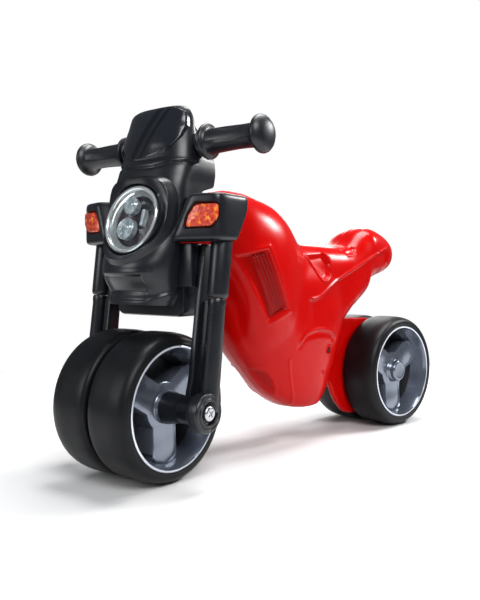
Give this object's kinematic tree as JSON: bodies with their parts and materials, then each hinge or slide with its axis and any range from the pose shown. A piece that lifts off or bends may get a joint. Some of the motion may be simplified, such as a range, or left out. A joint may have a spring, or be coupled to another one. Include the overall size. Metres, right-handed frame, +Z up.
{
  "type": "ride-on push motorcycle",
  "caption": "Child's foot-propelled ride-on motorcycle: moulded body and seat, steered fork with fairing, lamp and handlebar, and twin wheels front and rear.",
  "frame": {"origin": "on the ground under the middle of the overall length, on the body's middle plane", "axes": "+Z up, -Y the way the toy drives, +X to the rider's left; the front end is stored turned 9.7 degrees to the left"},
  "size_m": [0.3302, 0.697, 0.4794],
  "materials": {
    "red_plastic": "glossy blow-moulded red plastic with soft broad highlights",
    "black_plastic": "satin black moulded plastic",
    "screen_plastic": "glossy smoke-black plastic with two paler slanting bands",
    "tyre_rubber": "smooth black foam rubber without tread",
    "grip_rubber": "satin black soft rubber",
    "rim_plastic": "silver-grey glossy plastic with a pearly cast",
    "steel": "plain steel",
    "nylon": "plain white nylon",
    "chrome": "bright plated ring",
    "lamp_dark": "dark glossy lamp interior",
    "lamp_glass": "pale blue-white reflective lamp unit",
    "clear_lens": "clear lens with a pale teal cast",
    "amber_lens": "translucent amber with a moulded prism pattern"
  },
  "bodies": {
    "frame": {"body_shell": "red_plastic", "head_bush_lower": "nylon", "head_bush_upper": "nylon", "rear_axle": "steel", "rear_washer_left": "nylon", "rear_washer_right": "nylon", "rear_hub_cap_left": "rim_plastic", "rear_hub_cap_right": "rim_plastic"},
    "steering": {"front_axle": "steel", "wheel_gap_washer": "nylon", "fork_crown": "black_plastic", "steering_stem": "steel", "handlebar_tube": "steel", "bar_clamp": "black_plastic", "front_fairing": "black_plastic", "headlamp_surround": "black_plastic", "windscreen": "screen_plastic", "dash_cover": "black_plastic", "headlamp_bezel": "black_plastic", "headlamp_ring": "chrome", "headlamp_bowl": "lamp_dark", "headlamp_upper_lamp": "lamp_glass", "headlamp_lower_lamp": "lamp_glass", "headlamp_light_bar": "lamp_glass", "headlamp_lens": "clear_lens", "axle_spacer_left": "black_plastic", "axle_screw_left": "steel", "fork_leg_left": "black_plastic", "fork_tube_left": "black_plastic", "indicator_pod_left": "black_plastic", "indicator_lens_left": "amber_lens", "bar_collar_left": "black_plastic", "grip_left": "grip_rubber", "axle_spacer_right": "black_plastic", "axle_screw_right": "steel", "fork_leg_right": "black_plastic", "fork_tube_right": "black_plastic", "indicator_pod_right": "black_plastic", "indicator_lens_right": "amber_lens", "bar_collar_right": "black_plastic", "grip_right": "grip_rubber"},
    "wheel_front_left": {"front_left_tyre": "tyre_rubber", "front_left_rim": "rim_plastic", "front_left_hub_bush": "nylon"},
    "wheel_front_right": {"front_right_tyre": "tyre_rubber", "front_right_rim": "rim_plastic", "front_right_hub_bush": "nylon"},
    "wheel_rear_left": {"rear_left_tyre": "tyre_rubber", "rear_left_rim": "rim_plastic", "rear_left_hub_bush": "nylon"},
    "wheel_rear_right": {"rear_right_tyre": "tyre_rubber", "rear_right_rim": "rim_plastic", "rear_right_hub_bush": "nylon"}
  },
  "joints": [
    {"name": "steering", "type": "hinge", "parent": "frame", "child": "steering", "pos_m": [0, -0.2264, 0.0934], "axis": [0, 0.0279, 0.9996], "range_deg": [-41.7, 22.3]},
    {"name": "rear_left_wheel_spin", "type": "hinge", "parent": "frame", "child": "wheel_rear_left", "pos_m": [0.03745, 0.2547, 0.0934], "axis": [1, 0, 0], "continuous": true},
    {"name": "rear_right_wheel_spin", "type": "hinge", "parent": "frame", "child": "wheel_rear_right", "pos_m": [-0.03745, 0.2547, 0.0934], "axis": [1, 0, 0], "continuous": true},
    {"name": "front_left_wheel_spin", "type": "hinge", "parent": "steering", "child": "wheel_front_left", "pos_m": [0.00359, -0.2474, 0.09339], "axis": [0.9857, 0.1684, -0.0047], "continuous": true},
    {"name": "front_right_wheel_spin", "type": "hinge", "parent": "steering", "child": "wheel_front_right", "pos_m": [0.00359, -0.2474, 0.09339], "axis": [0.9857, 0.1684, -0.0047], "continuous": true}
  ]
}
